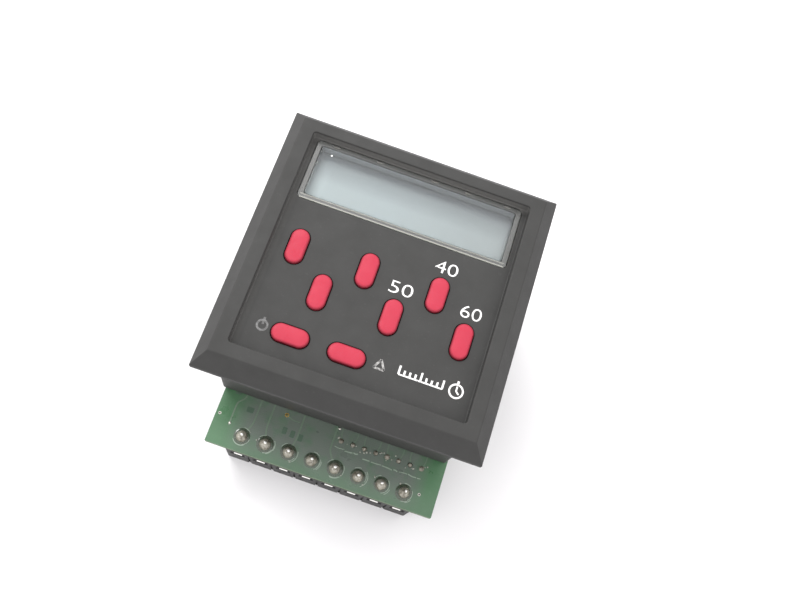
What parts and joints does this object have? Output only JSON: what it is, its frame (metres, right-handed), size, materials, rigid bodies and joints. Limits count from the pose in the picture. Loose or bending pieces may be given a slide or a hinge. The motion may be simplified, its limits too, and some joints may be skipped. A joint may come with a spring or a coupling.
{
  "type": "panel timer module",
  "caption": "Square panel-mount timer module: chamfered bezel with a display window and press keys, a case behind its flange, and a rear board with a screw terminal block.",
  "frame": {"origin": "under the middle of the module's outline, on the plane of the terminal block's screw side, which it rests on", "axes": "+Z out of the key face; +Y from the keys towards the display; +X to the right when looking at the face"},
  "size_m": [0.056, 0.0644, 0.0422],
  "materials": {
    "bezel_plastic": "black moulded plastic, fine spark texture, edges slightly polished",
    "window_clear": "clear acrylic with a raised pane",
    "key_red": "pinkish red moulded plastic, satin",
    "mat_silicone": "dark grey silicone rubber",
    "strip_silicone": "layered conductive silicone",
    "display_board_laminate": "green solder mask on glass laminate",
    "carrier_board_laminate": "green solder mask with traces and plated holes",
    "lcd_glass": "display glass with a grey polariser",
    "lcd_reflector_film": "pale grey reflector film",
    "holder_plastic": "black moulded plastic",
    "chip_epoxy": "black moulded epoxy",
    "regulator_epoxy": "black moulded epoxy",
    "crystal_can": "plated steel can",
    "header_plastic": "black moulded plastic",
    "case_plastic": "black moulded plastic, fine texture",
    "case_screw_steel": "zinc-plated steel",
    "block_plastic": "black moulded polyamide",
    "clamp_tin": "tin-plated metal with solder",
    "guard_steel": "plated spring steel",
    "terminal_screw_steel": "zinc-plated steel, slotted",
    "network_epoxy": "brown dipped epoxy with tinned leads",
    "relay_plastic": "off-white moulded plastic",
    "capacitor_sleeve": "dark blue shrink sleeve over an aluminium can"
  },
  "bodies": {
    "module": {"bezel": "bezel_plastic", "window": "window_clear", "keypad_mat": "mat_silicone", "contact_strip_lower": "strip_silicone", "contact_strip_upper": "strip_silicone", "display_board": "display_board_laminate", "carrier_board": "carrier_board_laminate", "lcd_front_glass": "lcd_glass", "lcd_rear_glass": "lcd_glass", "lcd_reflector": "lcd_reflector_film", "lcd_holder": "holder_plastic", "counter_chip": "chip_epoxy", "optocoupler": "chip_epoxy", "voltage_regulator": "regulator_epoxy", "crystal": "crystal_can", "header_pins": "header_plastic", "header_socket": "header_plastic", "rear_case": "case_plastic", "case_screw_1": "case_screw_steel", "case_screw_2": "case_screw_steel", "case_screw_3": "case_screw_steel", "case_screw_4": "case_screw_steel", "terminal_block": "block_plastic", "wire_clamp_1": "clamp_tin", "wire_clamp_2": "clamp_tin", "wire_clamp_3": "clamp_tin", "wire_clamp_4": "clamp_tin", "wire_clamp_5": "clamp_tin", "wire_clamp_6": "clamp_tin", "wire_clamp_7": "clamp_tin", "wire_clamp_8": "clamp_tin", "resistor_network": "network_epoxy", "relay": "relay_plastic", "supply_capacitor": "capacitor_sleeve"},
    "digit_key_1": {"digit_key_1": "key_red"},
    "digit_key_2": {"digit_key_2": "key_red"},
    "digit_key_3": {"digit_key_3": "key_red"},
    "digit_key_4": {"digit_key_4": "key_red"},
    "digit_key_5": {"digit_key_5": "key_red"},
    "digit_key_6": {"digit_key_6": "key_red"},
    "enter_key": {"enter_key": "key_red"},
    "reset_key": {"reset_key": "key_red"},
    "wire_guard_1": {"wire_guard_1": "guard_steel"},
    "terminal_screw_1": {"terminal_screw_1": "terminal_screw_steel"},
    "wire_guard_2": {"wire_guard_2": "guard_steel"},
    "terminal_screw_2": {"terminal_screw_2": "terminal_screw_steel"},
    "wire_guard_3": {"wire_guard_3": "guard_steel"},
    "terminal_screw_3": {"terminal_screw_3": "terminal_screw_steel"},
    "wire_guard_4": {"wire_guard_4": "guard_steel"},
    "terminal_screw_4": {"terminal_screw_4": "terminal_screw_steel"},
    "wire_guard_5": {"wire_guard_5": "guard_steel"},
    "terminal_screw_5": {"terminal_screw_5": "terminal_screw_steel"},
    "wire_guard_6": {"wire_guard_6": "guard_steel"},
    "terminal_screw_6": {"terminal_screw_6": "terminal_screw_steel"},
    "wire_guard_7": {"wire_guard_7": "guard_steel"},
    "terminal_screw_7": {"terminal_screw_7": "terminal_screw_steel"},
    "wire_guard_8": {"wire_guard_8": "guard_steel"},
    "terminal_screw_8": {"terminal_screw_8": "terminal_screw_steel"}
  },
  "joints": [
    {"name": "digit_key_1_press", "type": "slide", "parent": "module", "child": "digit_key_1", "axis": [0, 0, -1], "range_m": [0, 0.0008], "stiffness_N_per_m": 800, "springref_m": -0.0005},
    {"name": "digit_key_2_press", "type": "slide", "parent": "module", "child": "digit_key_2", "axis": [0, 0, -1], "range_m": [0, 0.0008], "stiffness_N_per_m": 800, "springref_m": -0.0005},
    {"name": "digit_key_3_press", "type": "slide", "parent": "module", "child": "digit_key_3", "axis": [0, 0, -1], "range_m": [0, 0.0008], "stiffness_N_per_m": 800, "springref_m": -0.0005},
    {"name": "digit_key_4_press", "type": "slide", "parent": "module", "child": "digit_key_4", "axis": [0, 0, -1], "range_m": [0, 0.0008], "stiffness_N_per_m": 800, "springref_m": -0.0005},
    {"name": "digit_key_5_press", "type": "slide", "parent": "module", "child": "digit_key_5", "axis": [0, 0, -1], "range_m": [0, 0.0008], "stiffness_N_per_m": 800, "springref_m": -0.0005},
    {"name": "digit_key_6_press", "type": "slide", "parent": "module", "child": "digit_key_6", "axis": [0, 0, -1], "range_m": [0, 0.0008], "stiffness_N_per_m": 800, "springref_m": -0.0005},
    {"name": "enter_key_press", "type": "slide", "parent": "module", "child": "enter_key", "axis": [0, 0, -1], "range_m": [0, 0.0008], "stiffness_N_per_m": 800, "springref_m": -0.0005},
    {"name": "reset_key_press", "type": "slide", "parent": "module", "child": "reset_key", "axis": [0, 0, -1], "range_m": [0, 0.0008], "stiffness_N_per_m": 800, "springref_m": -0.0005},
    {"name": "wire_guard_1_lift", "type": "slide", "parent": "module", "child": "wire_guard_1", "axis": [0, 0, 1], "range_m": [0, 0.00225]},
    {"name": "terminal_screw_1_turn", "type": "hinge", "parent": "wire_guard_1", "child": "terminal_screw_1", "pos_m": [-0.01728, -0.029, 0.0004], "axis": [0, 0, 1], "range_deg": [0, 1620]},
    {"name": "wire_guard_2_lift", "type": "slide", "parent": "module", "child": "wire_guard_2", "axis": [0, 0, 1], "range_m": [0, 0.00225]},
    {"name": "terminal_screw_2_turn", "type": "hinge", "parent": "wire_guard_2", "child": "terminal_screw_2", "pos_m": [-0.0122, -0.029, 0.0004], "axis": [0, 0, 1], "range_deg": [0, 1620]},
    {"name": "wire_guard_3_lift", "type": "slide", "parent": "module", "child": "wire_guard_3", "axis": [0, 0, 1], "range_m": [0, 0.00225]},
    {"name": "terminal_screw_3_turn", "type": "hinge", "parent": "wire_guard_3", "child": "terminal_screw_3", "pos_m": [-0.00712, -0.029, 0.0004], "axis": [0, 0, 1], "range_deg": [0, 1620]},
    {"name": "wire_guard_4_lift", "type": "slide", "parent": "module", "child": "wire_guard_4", "axis": [0, 0, 1], "range_m": [0, 0.00225]},
    {"name": "terminal_screw_4_turn", "type": "hinge", "parent": "wire_guard_4", "child": "terminal_screw_4", "pos_m": [-0.00204, -0.029, 0.0004], "axis": [0, 0, 1], "range_deg": [0, 1620]},
    {"name": "wire_guard_5_lift", "type": "slide", "parent": "module", "child": "wire_guard_5", "axis": [0, 0, 1], "range_m": [0, 0.00225]},
    {"name": "terminal_screw_5_turn", "type": "hinge", "parent": "wire_guard_5", "child": "terminal_screw_5", "pos_m": [0.00304, -0.029, 0.0004], "axis": [0, 0, 1], "range_deg": [0, 1620]},
    {"name": "wire_guard_6_lift", "type": "slide", "parent": "module", "child": "wire_guard_6", "axis": [0, 0, 1], "range_m": [0, 0.00225]},
    {"name": "terminal_screw_6_turn", "type": "hinge", "parent": "wire_guard_6", "child": "terminal_screw_6", "pos_m": [0.00812, -0.029, 0.0004], "axis": [0, 0, 1], "range_deg": [0, 1620]},
    {"name": "wire_guard_7_lift", "type": "slide", "parent": "module", "child": "wire_guard_7", "axis": [0, 0, 1], "range_m": [0, 0.00225]},
    {"name": "terminal_screw_7_turn", "type": "hinge", "parent": "wire_guard_7", "child": "terminal_screw_7", "pos_m": [0.0132, -0.029, 0.0004], "axis": [0, 0, 1], "range_deg": [0, 1620]},
    {"name": "wire_guard_8_lift", "type": "slide", "parent": "module", "child": "wire_guard_8", "axis": [0, 0, 1], "range_m": [0, 0.00225]},
    {"name": "terminal_screw_8_turn", "type": "hinge", "parent": "wire_guard_8", "child": "terminal_screw_8", "pos_m": [0.01828, -0.029, 0.0004], "axis": [0, 0, 1], "range_deg": [0, 1620]}
  ],
  "couplings": [
    {"joint": "terminal_screw_1_turn", "follows": "wire_guard_1_lift", "rad_per_m": 12566},
    {"joint": "terminal_screw_2_turn", "follows": "wire_guard_2_lift", "rad_per_m": 12566},
    {"joint": "terminal_screw_3_turn", "follows": "wire_guard_3_lift", "rad_per_m": 12566},
    {"joint": "terminal_screw_4_turn", "follows": "wire_guard_4_lift", "rad_per_m": 12566},
    {"joint": "terminal_screw_5_turn", "follows": "wire_guard_5_lift", "rad_per_m": 12566},
    {"joint": "terminal_screw_6_turn", "follows": "wire_guard_6_lift", "rad_per_m": 12566},
    {"joint": "terminal_screw_7_turn", "follows": "wire_guard_7_lift", "rad_per_m": 12566},
    {"joint": "terminal_screw_8_turn", "follows": "wire_guard_8_lift", "rad_per_m": 12566}
  ]
}
